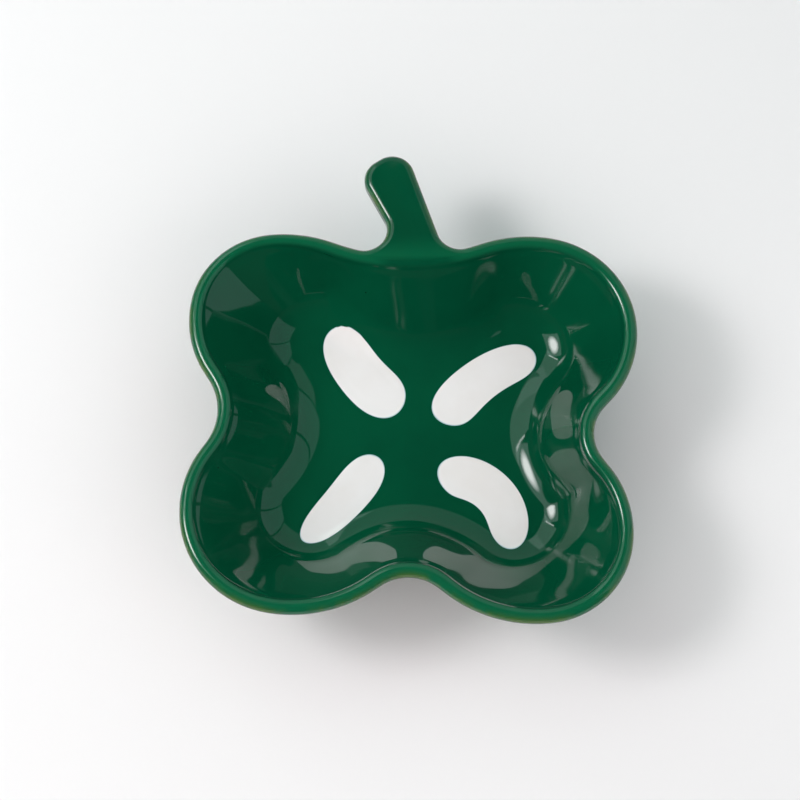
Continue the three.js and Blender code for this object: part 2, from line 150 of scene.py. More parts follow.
def turned_near(angle, reference):
    """The angle with whole turns added, so that it is within half a turn of the reference."""
    return reference + (angle - reference + math.pi) % (2 * math.pi) - math.pi


def angle_of(start, end):
    """Headings of the lines from start to end."""
    away = end - start
    return np.arctan2(away[..., 1], away[..., 0])


def right_of(vector):
    """The vector turned a quarter turn clockwise."""
    return np.stack([vector[..., 1], -vector[..., 0]], axis=-1)


def fillet_centre(a, a_radius, b, b_radius, radius):
    """Middles of circles that touch circles a and b from outside, on the right of the line from a to b: the
    corner of a triangle whose sides are the middles' distance and each radius plus the fillet's."""
    span = np.linalg.norm(b - a, axis=1)
    reach = (span**2 + (a_radius + radius) ** 2 - (b_radius + radius) ** 2) / (2 * span)
    aside = np.sqrt((a_radius + radius) ** 2 - reach**2)
    direction = (b - a) / span[:, None]
    return a + direction * reach[:, None] + right_of(direction) * aside[:, None]


class LobedOutline:
    """A closed outline of four lobes and four hollow notches. A lobe is a crown circle between two tangent
    flank circles, read by the angle of its normal; a notch is an arc tangent to the flanks beside it."""

    def __init__(self, crowns, radii, flank_radii, notch_radii):
        self.crowns, self.radii, self.notch_radii = crowns, radii, notch_radii
        self.diagonals = FRONT_RIGHT + RIGHT_ANGLE * np.arange(4)
        self.flank_radii = np.array([flank_radii, flank_radii[::-1]] * 2)
        joints = self.diagonals[:, None] + CROWN_HALF_ANGLE * np.array((-1, 1))
        self.flanks = crowns[:, None] + heading(joints) * (radii[:, None] - self.flank_radii)[..., None]
        before, after = self.flanks[:, 1], np.roll(self.flanks[:, 0], -1, axis=0)
        after_radii = np.roll(self.flank_radii[:, 0], -1)
        self.notches = fillet_centre(before, self.flank_radii[:, 1], after, after_radii, notch_radii)
        self.notch_from = angle_of(self.notches, before)
        self.notch_to = turned_near(angle_of(self.notches, after), self.notch_from)
        last_notches = np.roll(self.notches, 1, axis=0)
        self.lobe_from = turned_near(angle_of(self.flanks[:, 0], last_notches), self.diagonals)
        self.lobe_to = turned_near(angle_of(before, self.notches), self.diagonals)

    def points(self, lobe_steps, notch_steps):
        """Points round the outline: on a lobe, circle middle plus radius along the normal; on a notch, its
        middle plus radius along the arc's angle."""
        loop = []
        for side in range(4):
            angle = np.linspace(self.lobe_from[side], self.lobe_to[side], lobe_steps, endpoint=False)
            turn = (angle - self.diagonals[side])[:, None]
            on_flank = [turn < -CROWN_HALF_ANGLE, turn > CROWN_HALF_ANGLE]
            middle = np.select(on_flank, list(self.flanks[side]), self.crowns[side])
            radius = np.select(on_flank, list(self.flank_radii[side]), self.radii[side])
            loop.append(middle + radius * heading(angle))
            angle = np.linspace(self.notch_from[side], self.notch_to[side], notch_steps, endpoint=False)
            loop.append(self.notches[side] + self.notch_radii[side] * heading(angle))
        return np.concatenate(loop)


def blurred_loop(values, spacing, width):
    """Values on a closed loop blurred by a bell curve b. The weight b (2 - b) on each frequency takes off
    most of the shrinking that b alone would give."""
    frequency = np.fft.rfftfreq(len(values), spacing)
    bell = np.exp(-2 * (math.pi * width * frequency) ** 2)[:, None]
    return np.fft.irfft(np.fft.rfft(values, axis=0) * bell * (2 - bell), len(values), axis=0)


class DishPlan:
    """Rim and floor outlines at the same stations, as smooth functions of the distance along the rim."""
    LOBE_STEPS = 400
    NOTCH_STEPS = 160
    SAMPLES = 4096
    BLUR = 2.4 * MM
    # The back notch, counted counter-clockwise from the right one
    BACK = 1

    def __init__(self):
        self.rim_outline = LobedOutline(RIM_CROWNS, RIM_RADII, RIM_FLANKS, RIM_NOTCHES)
        rim = self.rim_outline.points(self.LOBE_STEPS, self.NOTCH_STEPS)
        floor = self.floor_outline(0).points(self.LOBE_STEPS, self.NOTCH_STEPS)
        steps = np.linalg.norm(np.roll(rim, -1, axis=0) - rim, axis=1)
        self.distances = np.concatenate([[0.0], np.cumsum(steps)])
        self.around = self.distances[-1]
        spacing = self.around / self.SAMPLES
        self.even = np.arange(self.SAMPLES) * spacing
        self.rim = blurred_loop(self.read(rim, self.distances[:-1], self.even), spacing, self.BLUR)
        self.floor = blurred_loop(self.read(floor, self.distances[:-1], self.even), spacing, self.BLUR)

    @staticmethod
    def floor_outline(inset):
        """The floor's outline drawn in by an inset, which its lobes lose and its notches gain in radius."""
        corners = np.array(((1, -1), (1, 1), (-1, 1), (-1, -1)))
        crowns = FLOOR_MIDDLE + corners * FLOOR_HALF_SPACING
        reach = FLOOR_HALF_SPACING[[1, 0, 1, 0]]
        depth = FLOOR_NOTCH_DEPTHS
        notches = (reach**2 + depth * (depth - 2 * FLOOR_LOBE_RADIUS)) / (2 * depth)
        lobe_radii = np.full(4, FLOOR_LOBE_RADIUS - inset)
        return LobedOutline(crowns, lobe_radii, lobe_radii[:2], notches + inset)

    def read(self, loop, places, at):
        """Points of a closed loop, given at places along the rim, read in between at other places."""
        columns = [np.interp(at, places, loop[:, axis], period=self.around) for axis in range(2)]
        return np.stack(columns, axis=-1)

    def back_notch_distance(self, share):
        """Distance along the rim at a share of the back notch's arc."""
        first = self.BACK * (self.LOBE_STEPS + self.NOTCH_STEPS) + self.LOBE_STEPS
        return np.interp(first + share * self.NOTCH_STEPS, np.arange(len(self.distances)), self.distances)


class StemPlan:
    """The stem in plan: a bar whose sides are filleted into the back notch, with round corners at the tip.
    Points and outward normals run from the right fillet round the tip to the left fillet, each with the
    share of the back notch's arc that it is joined to."""
    SPACING = 0.45 * MM

    def __init__(self, sizes, outline, side):
        self.middle, self.radius = outline.notches[side], outline.notch_radii[side]
        self.start, self.end = outline.notch_from[side], outline.notch_to[side]
        along = RIGHT_ANGLE + sizes.stem_lean
        tip_facing = along + sizes.stem_tip_slant
        axis, tip_normal = heading(along), heading(tip_facing)
        rise = math.sqrt(self.radius**2 - (sizes.stem_root_x - self.middle[0]) ** 2)
        root = np.array((sizes.stem_root_x, self.middle[1] - rise))
        tip = root + axis * sizes.stem_length
        right, left = (self.bar_side(sizes, axis, root, tip, tip_normal, hand) for hand in (1, -1))
        fillet, corner = sizes.stem_root_fillet, sizes.stem_tip_radius
        right_fillet = self.arc(right["fillet"], fillet, right["touch"], right["facing"] + math.pi, True)
        bar = [
            self.line(right["fillet"] - right["normal"] * fillet,
                      right["corner"] + right["normal"] * corner, right["normal"]),
            self.arc(right["corner"], corner, right["facing"], tip_facing),
            self.line(right["corner"] + tip_normal * corner,
                      left["corner"] + tip_normal * corner, tip_normal),
            self.arc(left["corner"], corner, tip_facing, left["facing"]),
            self.line(left["corner"] + left["normal"] * corner,
                      left["fillet"] - left["normal"] * fillet, left["normal"]),
        ]
        left_fillet = self.arc(left["fillet"], fillet, left["facing"] + math.pi, left["touch"], True)
        self.points, self.normals = (
            np.concatenate(column) for column in zip(right_fillet, *bar, left_fillet))
        bar_count = sum(len(points) for points, _ in bar)
        stretches = (
            (len(right_fillet[0]), right["touch"], right["root"]),
            (bar_count, right["root"], left["root"]),
            (len(left_fillet[0]), left["root"], left["touch"]))
        self.shares = np.concatenate([
            np.linspace(self.share(first), self.share(last), count, endpoint=False)
            for count, first, last in stretches])
        self.ends = (self.share(right["touch"]), self.share(left["touch"]))

    def share(self, angle):
        """Share of the back notch's arc at an angle about its middle."""
        return (turned_near(angle, self.start) - self.start) / (self.end - self.start)

    def bar_side(self, sizes, axis, root, tip, tip_normal, hand):
        """One side of the bar: a line that flares from root to tip, the middle of the fillet that touches it
        and the notch, and the middle of the tip's corner."""
        flare = math.atan2((sizes.stem_tip_width - sizes.stem_root_width) / 2, sizes.stem_length)
        start = root + right_of(axis) * hand * sizes.stem_root_width / 2
        direction = heading(math.atan2(axis[1], axis[0]) - hand * flare)
        normal = right_of(direction) * hand
        offset = start + normal * sizes.stem_root_fillet - self.middle
        half = offset @ direction
        inside = self.radius - sizes.stem_root_fillet
        step = -half - math.sqrt(half**2 - offset @ offset + inside**2)
        fillet = offset + direction * step + self.middle
        corner_start = start - normal * sizes.stem_tip_radius
        to_tip = tip - tip_normal * sizes.stem_tip_radius - corner_start
        run = (to_tip @ tip_normal) / (direction @ tip_normal)
        return {
            "normal": normal,
            "facing": math.atan2(normal[1], normal[0]),
            "fillet": fillet,
            "corner": corner_start + direction * run,
            "touch": angle_of(self.middle, fillet),
            "root": angle_of(self.middle, start),
        }

    def arc(self, middle, radius, start, end, hollow=False):
        """Points of an arc and its normals, which point to the middle where the arc is hollow."""
        end = turned_near(end, start)
        steps = max(2, round(abs(end - start) * radius / self.SPACING))
        out = heading(np.linspace(start, end, steps, endpoint=False))
        return middle + radius * out, -out if hollow else out

    def line(self, start, end, normal):
        """Points of a straight side and its normal at each."""
        steps = max(2, round(math.dist(start, end) / self.SPACING))
        share = np.linspace(0, 1, steps, endpoint=False)[:, None]
        return start + (end - start) * share, np.repeat(normal[None], steps, axis=0)


def smoothstep(value, low, high):
    """0 below low, 1 above high, and 3 t^2 - 2 t^3 between."""
    t = np.clip((value - low) / (high - low), 0, 1)
    return t * t * (3 - 2 * t)


def bell_curve(value, middle, width):
    """1 at the middle, and exp(-d^2) at d widths from it."""
    return np.exp(-(((value - middle) / width) ** 2))


def eased(steps):
    """Fractions from 0 to 1 that crowd together at both ends, as a half turn of a cosine does."""
    return (1 - np.cos(np.linspace(0, math.pi, steps + 1))) / 2


class DishSections:
    """Sections through the wall at stations round the dish. Each runs from the floor's edge up the fillet and
    the sloping wall, over the rim's round and down the outside to the edge of the underside. Along the back
    the rim's round opens out, and its outer half follows the stem's edge."""
    SPACING = 0.66 * MM
    OFF_EDGE = -math.pi
    # Share taken of the largest fillet that fits, and how far inside the floor's edge and up the fillet a
    # height is read off a section
    FILLET_SHARE = 0.8
    NEAR = 1.0 * MM
    CLIMB_SHARE = 0.95

    def __init__(self, sizes):
        self.sizes = sizes
        plan = DishPlan()
        stem = StemPlan(sizes, plan.rim_outline, plan.BACK)
        first, last = plan.back_notch_distance(np.array(stem.ends))
        steps = round((first + plan.around - last) / self.SPACING)
        plain = np.linspace(last, first + plan.around, steps, endpoint=False)
        distance = np.concatenate([plain, plan.back_notch_distance(stem.shares)])
        self.edge = plan.read(plan.rim, plan.even, distance)
        to_floor = plan.read(plan.floor, plan.even, distance) - self.edge
        self.run = np.linalg.norm(to_floor, axis=1)
        self.inward = to_floor / self.run[:, None]
        self.on_stem = np.arange(len(distance)) > len(plain)
        self.nose = self.edge.copy()
        self.nose[self.on_stem] = stem.points[1:]
        normals = -self.inward
        normals[self.on_stem] = stem.normals[1:]
        self.away = smoothstep(np.linalg.norm(self.nose - self.edge, axis=1), 0, sizes.stem_blend)
        out = -self.inward * (1 - self.away[:, None]) + normals * self.away[:, None]
        self.out = out / np.linalg.norm(out, axis=1)[:, None]
        self.radius = sizes.wall / 2
        self.floor_top = sizes.foot_height + sizes.wall
        self.rim_top = self.floor_top + sizes.inner_depth
        rise = sizes.inner_depth - self.radius
        level = self.run - self.radius
        largest = (level**2 + rise**2 - self.radius**2) / (2 * (rise + self.radius))
        self.fillet = np.minimum(sizes.floor_fillet, self.FILLET_SHARE * largest)

    def height_at(self, plan):
        """Height of the inner surface at plan points on the floor or a little way up its fillet. On the
        fillet it is the radius less the root of its square less that of the way past the floor's edge, read
        between the two sections that pass either side of the point."""
        to_point = plan[:, None] - self.edge
        reach = (to_point * self.inward).sum(axis=2)
        aside = (to_point * right_of(self.inward)).sum(axis=2)
        past = self.run - reach
        near = (reach > 0) & (past > -self.NEAR)
        up_fillet = np.clip(past, 0, self.CLIMB_SHARE * self.fillet)
        climb = self.fillet - np.sqrt(self.fillet**2 - up_fillet**2)
        other_aside, other_climb, other_near = (np.roll(v, -1, axis=1) for v in (aside, climb, near))
        between = near & other_near & (aside * other_aside <= 0) & (aside != other_aside)
        share = np.divide(aside, aside - other_aside, out=np.zeros_like(aside), where=between)
        return self.floor_top + np.where(between, climb + (other_climb - climb) * share, 0).max(axis=1)

    def rows(self, depth, fillet_steps, wall_steps, round_steps, outer_steps):
        """Rows of points, each as long as the stations, and the turn over the rim's edge at each: 0 on top
        of the rim, a quarter turn at its outermost, and OFF_EDGE away from it. The wall is the common
        tangent of the rim's round and the floor's fillet, so its angle is the heading from one middle to the
        other plus the arc cosine of the radii's sum over their distance. Just below the round it sinks in by
        a bell curve of the distance along it. depth is below the outer surface."""
        sizes, radius, fillet = self.sizes, self.radius, self.fillet
        bead_z = self.rim_top - radius
        level = self.run - radius
        hub_z = self.floor_top + fillet
        distance = np.hypot(level, hub_z - bead_z)
        wall = np.arctan2(hub_z - bead_z, level) + np.arccos((radius + fillet) / distance)
        wall_length = np.sqrt(distance**2 - (radius + fillet) ** 2)
        inner = radius - depth

        points, turns = [], []

        def add(place, z, turn=self.OFF_EDGE):
            points.append(np.column_stack([place, np.broadcast_to(z, self.run.shape)]))
            turns.append(np.broadcast_to(turn, self.run.shape))

        def across(x, z, turn=self.OFF_EDGE):
            add(self.edge + self.inward * x[:, None], z, turn)

        def groove(below):
            return sizes.groove_depth * bell_curve(below, sizes.groove_drop, sizes.groove_width)

        for share in eased(fillet_steps):
            angle = RIGHT_ANGLE + (wall - RIGHT_ANGLE) * share
            reach = fillet + depth
            across(self.run - reach * np.cos(angle), hub_z - reach * np.sin(angle))
        for share in np.linspace(1, 0, wall_steps + 1)[1:-1] ** 2:
            below = wall_length * share
            out = inner - groove(below)
            across(radius + out * np.cos(wall) + below * np.sin(wall),
                   bead_z + out * np.sin(wall) - below * np.cos(wall))
        for share in eased(round_steps):
            angle = wall + (RIGHT_ANGLE - wall) * share
            out = inner - groove((wall - angle) * radius)
            across(radius + out * np.cos(angle), bead_z + out * np.sin(angle), angle - RIGHT_ANGLE)
        self.top_row = len(points) - 1

        middle = self.nose - self.out * radius
        low_z = bead_z - (sizes.stem_thickness - sizes.wall) * self.away
        meet_z = self.rim_top - sizes.stem_thickness + depth
        meet_x = radius - (inner + (meet_z - bead_z) * np.sin(wall)) / np.cos(wall)
        meet = self.edge + self.inward * meet_x[:, None]
        under = np.linalg.norm(meet - middle, axis=1)
        drop = low_z - meet_z
        last_turn = RIGHT_ANGLE + np.arctan2(under, drop) + np.arcsin(inner / np.hypot(under, drop))

        def nose(turn, z):
            turn = np.broadcast_to(turn, self.run.shape)
            place = middle + self.out * (inner * np.sin(turn))[:, None]
            add(place, z + inner * np.cos(turn), turn)

        for share in eased(round_steps):
            nose(RIGHT_ANGLE * share, bead_z)
        self.side_row = len(points) - 1
        for share in eased(round_steps):
            nose(RIGHT_ANGLE + (last_turn - RIGHT_ANGLE) * share, low_z)
        self.under_row = len(points) - 1
        add(meet, meet_z)
        for share in eased(outer_steps):
            angle = wall + (RIGHT_ANGLE - wall) * share
            reach = fillet + sizes.wall - depth
            across(self.run - reach * np.cos(angle), hub_z - reach * np.sin(angle))
        return points, turns

    def faces(self, index):
        """Faces between the rows, counter-clockwise from above and outside. Off the stem, the rim's two
        halves share their row on top and at the side; on it, its flat top and underside are one face each."""
        index[~self.on_stem, self.top_row + 1] = index[~self.on_stem, self.top_row]
        index[~self.on_stem, self.side_row + 1] = index[~self.on_stem, self.side_row]
        kept = np.ones((index.shape[0], index.shape[1] - 1), dtype=bool)
        beside_stem = self.on_stem | np.roll(self.on_stem, -1)
        kept[beside_stem, self.top_row] = False
        kept[beside_stem, self.under_row] = False
        first = np.flatnonzero(beside_stem)[0]
        span = np.append(np.arange(first, len(index)), 0)
        top = np.concatenate([index[span, self.top_row][::-1], index[span[1:-1], self.top_row + 1]])
        under = np.concatenate([index[span, self.under_row + 1], index[span[::-1], self.under_row]])
        return lattice_faces(index, kept) + [top, under]


def lattice_index(columns, rows):
    """Vertex numbers of a lattice, counted along each column in turn."""
    return np.arange(columns * rows).reshape(columns, rows)


def lattice_faces(index, kept=True):
    """Four-cornered faces between neighbouring columns and rows of an index lattice that closes on itself,
    where kept says so. Where two corners are the same vertex the face is a triangle, and where more are, it
    is left out."""
    following = np.roll(index, -1, axis=0)
    corners = np.stack([index[:, :-1], index[:, 1:], following[:, 1:], following[:, :-1]], axis=-1)
    corners = corners[np.broadcast_to(kept, corners.shape[:2])]
    same = corners == np.roll(corners, -1, axis=1)
    whole = corners[~same.any(axis=1)]
    is_triangle = same.sum(axis=1) == 1
    triangles = corners[is_triangle][~same[is_triangle]].reshape(-1, 3)
    return [*whole, *triangles]


def make_piece(name, points, faces, material, body="root"):
    """A smooth-shaded mesh object of the used points, at the origin, that moves with a body of the part."""
    used = np.unique(np.concatenate([np.ravel(face) for face in faces]))
    place = np.full(len(points), -1)
    place[used] = np.arange(len(used))
    mesh = bpy.data.meshes.new(name)
    mesh.from_pydata(points[used].tolist(), [], [place[face].tolist() for face in faces])
    mesh.update()
    if mesh.validate():
        raise RuntimeError(f"{name} had faces that Blender took out")
    mesh.shade_smooth()
    mesh.materials.append(material)
    piece = bpy.data.objects.new(name, mesh)
    bpy.context.scene.collection.objects.link(piece)
    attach(piece, body)
    return piece, used


def add_attribute(piece, name, values):
    """A number at each vertex that the piece's material reads by name."""
    layer = piece.data.attributes.new(name, "FLOAT", "POINT")
    layer.data.foreach_set("value", np.asarray(values, dtype=np.float32))


def in_part_frame(points):
    """Sketch points moved so that the part's middle is the origin."""
    return points - np.append(SKETCH_MIDDLE, 0.0)


class Finish:
    """A material or world whose nodes are added one by one; most calls give the new node's output."""

    def __init__(self, owner, shader="Principled BSDF", place="Object"):
        owner.use_nodes = True
        self.owner = owner
        self.tree = owner.node_tree
        self.shader = self.tree.nodes[shader]
        self.place = self.add("ShaderNodeTexCoord").outputs[place]

    def add(self, kind, inputs=(), **settings):
        node = self.tree.nodes.new(kind)
        for key, value in settings.items():
            setattr(node, key, value)
        for key, value in dict(inputs).items():
            self.put(node.inputs[key], value)
        return node

    def put(self, socket, value):
        if isinstance(value, bpy.types.NodeSocket):
            self.tree.links.new(value, socket)
        else:
            socket.default_value = value

    def shade(self, **values):
        for key, value in values.items():
            self.put(self.shader.inputs[key.replace("_", " ")], value)

    def noise(self, scale, detail=2.0, rough=0.5):
        inputs = {"Vector": self.place, "Scale": scale, "Detail": detail, "Roughness": rough}
        return self.add("ShaderNodeTexNoise", inputs).outputs["Fac"]

    def attribute(self, name):
        return self.add("ShaderNodeAttribute", attribute_name=name).outputs["Fac"]

    def maths(self, operation, a, b):
        return self.add("ShaderNodeMath", {0: a, 1: b}, operation=operation).outputs[0]

    def ranged(self, value, low, high, to_low=0.0, to_high=1.0):
        inputs = {"Value": value, "From Min": low, "From Max": high, "To Min": to_low, "To Max": to_high}
        return self.add("ShaderNodeMapRange", inputs, interpolation_type="SMOOTHSTEP").outputs["Result"]

    def blend(self, factor, a, b):
        node = self.add("ShaderNodeMix", data_type="RGBA")
        self.put(node.inputs["Factor"], factor)
        colour_sockets = [socket for socket in node.inputs if socket.type == "RGBA"]
        self.put(colour_sockets[0], a)
        self.put(colour_sockets[1], b)
        return next(socket for socket in node.outputs if socket.type == "RGBA")

    def spots(self, scale, middle, edge, limit):
        """1 in spots that fade from a middle to an edge, in cells whose colour is darker than a limit."""
        cells = self.add("ShaderNodeTexVoronoi", {"Vector": self.place, "Scale": scale}).outputs
        spot = self.ranged(cells["Distance"], low=middle, high=edge, to_low=1.0, to_high=0.0)
        chosen = self.maths("LESS_THAN", cells["Color"], limit)
        return self.maths("MULTIPLY", spot, chosen)

    def bump(self, height, strength, distance, normal=None):
        inputs = {"Height": height, "Strength": strength, "Distance": distance}
        if normal is not None:
            inputs["Normal"] = normal
        return self.add("ShaderNodeBump", inputs).outputs["Normal"]


def opaque(rgb):
    """A colour property as the four numbers that a socket takes."""
    return (*rgb, 1.0)


GLAZE_IOR = 1.5


def glaze_wave(finish):
    """The slow wave in a fired glaze's surface, the same in the green and the white."""
    return finish.bump(finish.noise(scale=48.0, detail=1.0), strength=0.10, distance=0.004)


def green_glaze_finish(colours):
    """Glossy green glaze: deeper where it has pooled, lighter over the crown of the rim, olive where it thins
    on an edge, with a broken line of clay under that and a few pinholes."""
    finish = Finish(bpy.data.materials.new("green_glaze"))
    pooled = finish.ranged(finish.noise(scale=34.0, detail=3.0), low=0.35, high=0.7)
    body = finish.blend(pooled, opaque(colours.green), opaque(colours.deep_green))
    body = finish.blend(finish.attribute("crown"), body, opaque(colours.light_green))
    broken = finish.ranged(finish.noise(scale=95.0, detail=4.0, rough=0.6), low=0.38, high=0.62)
    thinned = finish.maths("MULTIPLY", finish.attribute("edge"), broken)
    body = finish.blend(thinned, body, opaque(colours.olive))
    worn = finish.ranged(finish.noise(scale=40.0, detail=3.0), low=0.4, high=0.6)
    bare = finish.maths("MULTIPLY", finish.attribute("bare"), worn)
    body = finish.blend(bare, body, opaque(colours.cream))
    hole = finish.spots(scale=330.0, middle=0.05, edge=0.09, limit=0.12)
    body = finish.blend(hole, body, opaque(colours.pinhole))
    pitted = finish.bump(hole, strength=-0.25, distance=0.0004, normal=glaze_wave(finish))
    gloss = finish.ranged(finish.noise(scale=75.0), low=0.3, high=0.7, to_low=0.03, to_high=0.06)
    finish.shade(Base_Color=body, Roughness=gloss, IOR=GLAZE_IOR, Normal=pitted)
    return finish.owner


def white_glaze_finish(colours):
    """White glaze, nearly as glossy, a little warmer in broad drifts and tinted blue at a mark's edge."""
    finish = Finish(bpy.data.materials.new("white_glaze"))
    drift = finish.ranged(finish.noise(scale=60.0, detail=3.0), low=0.35, high=0.7)
    body = finish.blend(drift, opaque(colours.white), opaque(colours.warm_white))
    rim = finish.ranged(finish.attribute("outward"), low=0.972, high=1.0)
    body = finish.blend(rim, body, opaque(colours.blue_edge))
    gloss = finish.ranged(drift, low=0.0, high=1.0, to_low=0.05, to_high=0.09)
    finish.shade(Base_Color=body, Roughness=gloss, IOR=GLAZE_IOR, Normal=glaze_wave(finish))
    return finish.owner


def clay_finish(colours):
    """Bare fired clay: buff, matt and slightly grainy, with darker specks."""
    finish = Finish(bpy.data.materials.new("bare_clay"))
    drift = finish.ranged(finish.noise(scale=45.0, detail=4.0), low=0.3, high=0.7)
    body = finish.blend(drift, opaque(colours.clay), opaque(colours.dark_clay))
    speck = finish.spots(scale=900.0, middle=0.10, edge=0.22, limit=0.22)
    body = finish.blend(speck, body, opaque(colours.speck))
    grain = finish.bump(finish.noise(scale=1600.0, detail=4.0, rough=0.6), strength=0.3, distance=0.0003)
    gloss = finish.ranged(drift, low=0.0, high=1.0, to_low=0.78, to_high=0.9)
    finish.shade(Base_Color=body, Roughness=gloss, Normal=grain)
    return finish.owner


class DISH_OT_glaze_coat(bpy.types.Operator):
    """Build the green glaze coat over bowl and stem"""
    bl_idname = "dish.glaze_coat"
    bl_label = "Glaze Coat"

    # Steps on the fillet, the wall, each stretch of the rim's round, and the outside below it
    INNER_STEPS = (5, 6, 3, 4)
    OUTER_STEPS = (16, 12, 9, 10)
    HEM_STEPS = 4
    # Degrees over the rim's edge: where the crown's colour comes in and goes, off the stem and on it, then
    # the middle and width of the thinned edge and of the line of clay
    CROWN = ((-62, -25), (60, 105))
    STEM_CROWN = ((25, 60), (70, 105))
    THINNED = (70, 34)
    BARE = (112, 8)

    def execute(self, context):
        sizes = context.scene.dish_sizes
        sections = DishSections(sizes)
        stations = len(sections.run)
        inner, _ = sections.rows(sizes.coat, *self.INNER_STEPS)
        inner_index = lattice_index(stations, len(inner))
        faces = [face[::-1] for face in sections.faces(inner_index)]
        outer, turns = sections.rows(0.0, *self.OUTER_STEPS)
        outer_index = lattice_index(stations, len(outer)) + inner_index.size
        faces += sections.faces(outer_index)
        inward = np.column_stack([sections.inward, np.zeros_like(sections.run)])
        lip = 2 * sizes.coat
        hem_turns = RIGHT_ANGLE * np.arange(1, self.HEM_STEPS + 1) / self.HEM_STEPS
        hem = [
            outer[-1] + inward * lip * math.sin(turn) + (0, 0, lip * (1 - math.cos(turn)))
            for turn in hem_turns]
        hem_index = lattice_index(stations, len(hem)) + inner_index.size + outer_index.size
        edge_index = np.column_stack([outer_index[:, -1], hem_index, inner_index[:, -1]])
        faces += lattice_faces(edge_index)
        faces += [outer_index[:, 0], inner_index[::-1, 0]]
        points = np.concatenate([np.stack(rows, axis=1).reshape(-1, 3) for rows in (inner, outer, hem)])
        finish = green_glaze_finish(context.scene.dish_colours)
        coat, used = make_piece("glaze_coat", self.fitted(in_part_frame(points)), faces, finish)
        on_outside = slice(inner_index.size, inner_index.size + outer_index.size)
        turn = np.full(len(points), sections.OFF_EDGE)
        turn[on_outside] = np.stack(turns, axis=1).ravel()
        off_stem = np.ones(len(points))
        off_stem[on_outside] = np.repeat(1 - sections.away, len(turns))
        for name, values in self.edge_shares(turn, off_stem).items():
            add_attribute(coat, name, values[used])
        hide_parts("green_glaze", "stem")
        return {"FINISHED"}

    def edge_shares(self, turn, off_stem):
        """How far the glaze is thinned at each point: over the crown of the rim, on its outermost edge, and
        in the line under that where the clay shows. Each is a bell or a smooth step of the turn over the
        edge."""
        degrees = np.degrees(turn)
        crown, stem_crown = (
            smoothstep(degrees, *comes) * smoothstep(-degrees, -goes[1], -goes[0])
            for comes, goes in (self.CROWN, self.STEM_CROWN))
        return {
            "crown": crown * off_stem + stem_crown * (1 - off_stem),
            "edge": bell_curve(degrees, *self.THINNED),
            "bare": bell_curve(degrees, *self.BARE),
        }

    @staticmethod
    def fitted(points):
        """The points drawn in about their middle, so that in plan they fill the glaze's box and no more."""
        low, high = (np.array(corner)[:2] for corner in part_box("green_glaze"))
        least, most = points.min(axis=0)[:2], points.max(axis=0)[:2]
        scale = min(1.0, ((high - low) / (most - least)).min())
        moved = points.copy()
        moved[:, :2] = (points[:, :2] - (least + most) / 2) * scale + (low + high) / 2
        return moved


class DISH_OT_clay_body(bpy.types.Operator):
    """Give the bowl its bare clay and build the foot ring under it"""
    bl_idname = "dish.clay_body"
    bl_label = "Clay Body"

    LOBE_STEPS = 100
    NOTCH_STEPS = 80
    ROUND_STEPS = 6
    SHARP_ANGLE = math.radians(50)

    def execute(self, context):
        sizes = context.scene.dish_sizes
        finish = clay_finish(context.scene.dish_colours)
        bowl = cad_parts["bowl"]
        bowl.data.materials.clear()
        bowl.data.materials.append(finish)
        height = sizes.foot_height + 2 * sizes.coat
        low = sizes.foot_round
        near, far = sizes.foot_inset, sizes.foot_inset + sizes.foot_width
        turn = np.linspace(0, RIGHT_ANGLE, self.ROUND_STEPS + 1)
        inset = np.concatenate([
            [near], near + low * (1 - np.cos(turn)), far - low * (1 - np.cos(turn[::-1])), [far]])
        z = np.concatenate([[height], low * (1 - np.sin(turn)), low * (1 - np.sin(turn[::-1])), [height]])
        outlines = [DishPlan.floor_outline(drawn_in) for drawn_in in inset]
        place = np.stack([line.points(self.LOBE_STEPS, self.NOTCH_STEPS) for line in outlines], axis=1)
        points = np.dstack([place, np.broadcast_to(z, place.shape[:2])])
        index = lattice_index(*place.shape[:2])
        index = np.concatenate([index, index[:, :1]], axis=1)
        faces = lattice_faces(index)
        foot, _ = make_piece("foot", in_part_frame(points.reshape(-1, 3)), faces, finish)
        foot.data.set_sharp_from_angle(angle=self.SHARP_ANGLE)
        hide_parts("foot_ring")
        return {"FINISHED"}


def seed_rings(mark, rings, stations):
    """Plan points of a seed mark as rings from its middle out: a full oval, whose half width is the root of
    one less the reach along it to the power of the fullness, tapered along its length and bent round a
    circle."""
    (x, y), mark_heading, bend, mark_length, width, taper, fullness = mark
    bend, mark_length, width = math.radians(bend), mark_length * MM, width * MM
    radius = mark_length / bend
    sag = radius * (1 - math.cos(bend / 2)) / 2
    turn = 2 * math.pi * np.arange(stations) / stations
    reach = np.cos(turn)[:, None] * rings
    side = (np.sign(np.sin(turn)) * np.sqrt(1 - np.abs(np.cos(turn)) ** fullness))[:, None] * rings
    out = radius + width / 2 * side * (1 + taper * reach)
    angle = bend / 2 * reach
    flat = np.stack([out * np.sin(angle), out * np.cos(angle) - radius + sag], axis=-1)
    cosine, sine = math.cos(math.radians(mark_heading)), math.sin(math.radians(mark_heading))
    turned = flat @ np.array(((cosine, sine), (-sine, cosine)))
    return turned + FLOOR_MIDDLE + np.array((x, y)) * FLOOR_HALF_SPACING


